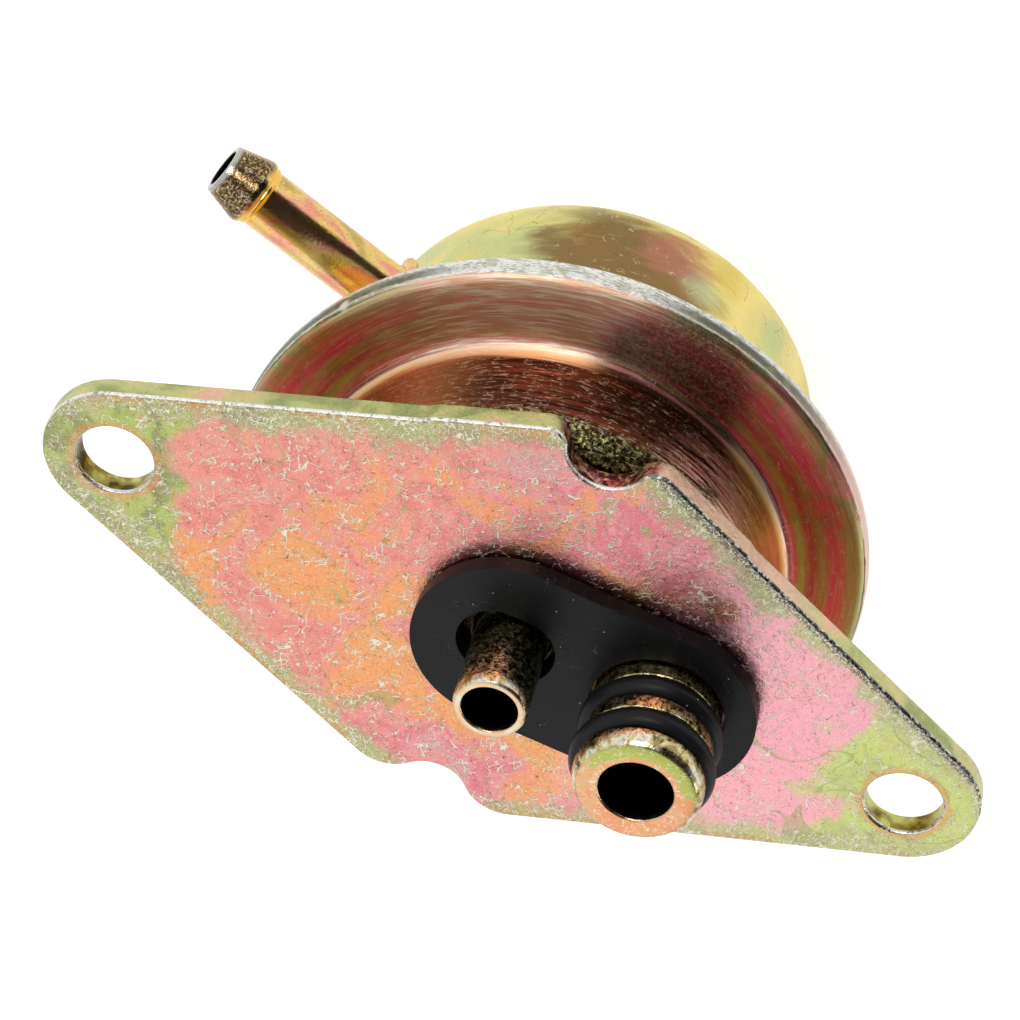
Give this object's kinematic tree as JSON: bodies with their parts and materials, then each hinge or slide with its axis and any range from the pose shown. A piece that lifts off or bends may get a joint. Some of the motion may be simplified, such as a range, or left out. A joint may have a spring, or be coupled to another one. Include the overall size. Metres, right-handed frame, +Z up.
{
  "type": "fuel pressure regulator",
  "caption": "Crimped steel regulator on a diamond mounting plate, with an O-ring inlet port, a return tube, a gasket and a barbed vacuum nipple.",
  "frame": {"origin": "centre of the flat end of the spring cover, on the regulator's axis", "axes": "+Z up the regulator's axis and out of the mounting face along the fuel ports, X along the mounting plate through both bolt holes with the inlet port on the -X side"},
  "size_m": [0.0822, 0.0546, 0.0476],
  "materials": {
    "plate_plating": "iridescent zinc plating, scuffed",
    "cup_plating": "iridescent zinc plating, glossy",
    "cover_plating": "iridescent zinc plating, satin",
    "nipple_plating": "iridescent zinc plating, glossy",
    "tube_plating": "mottled zinc plating",
    "port_plating": "iridescent zinc plating, worn edges",
    "seal_rubber": "satin",
    "gasket_rubber": "satin",
    "diaphragm_rubber": "matt",
    "inner_steel": "turned",
    "ball_steel": "polished",
    "spring_steel": "oiled spring steel"
  },
  "bodies": {
    "housing": {"mounting_plate": "plate_plating", "fuel_cup": "cup_plating", "spring_cover": "cover_plating", "vacuum_nipple": "nipple_plating", "return_tube": "tube_plating", "inlet_port": "port_plating", "outer_o_ring": "seal_rubber", "inner_o_ring": "seal_rubber", "gasket": "gasket_rubber", "valve_seat": "inner_steel", "diaphragm": "diaphragm_rubber", "main_spring": "spring_steel"},
    "valve": {"valve_holder": "inner_steel", "valve_disc": "inner_steel", "valve_ball": "ball_steel", "ball_spring": "spring_steel", "retaining_ring": "spring_steel", "lower_diaphragm_plate": "inner_steel", "spring_plate": "inner_steel"}
  },
  "joints": [
    {"name": "valve_lift", "type": "slide", "parent": "housing", "child": "valve", "axis": [0, 0, -1], "range_m": [0, 0.0008], "stiffness_N_per_m": 2000, "springref_m": -0.001, "deforming": ["main_spring", "diaphragm"]}
  ]
}
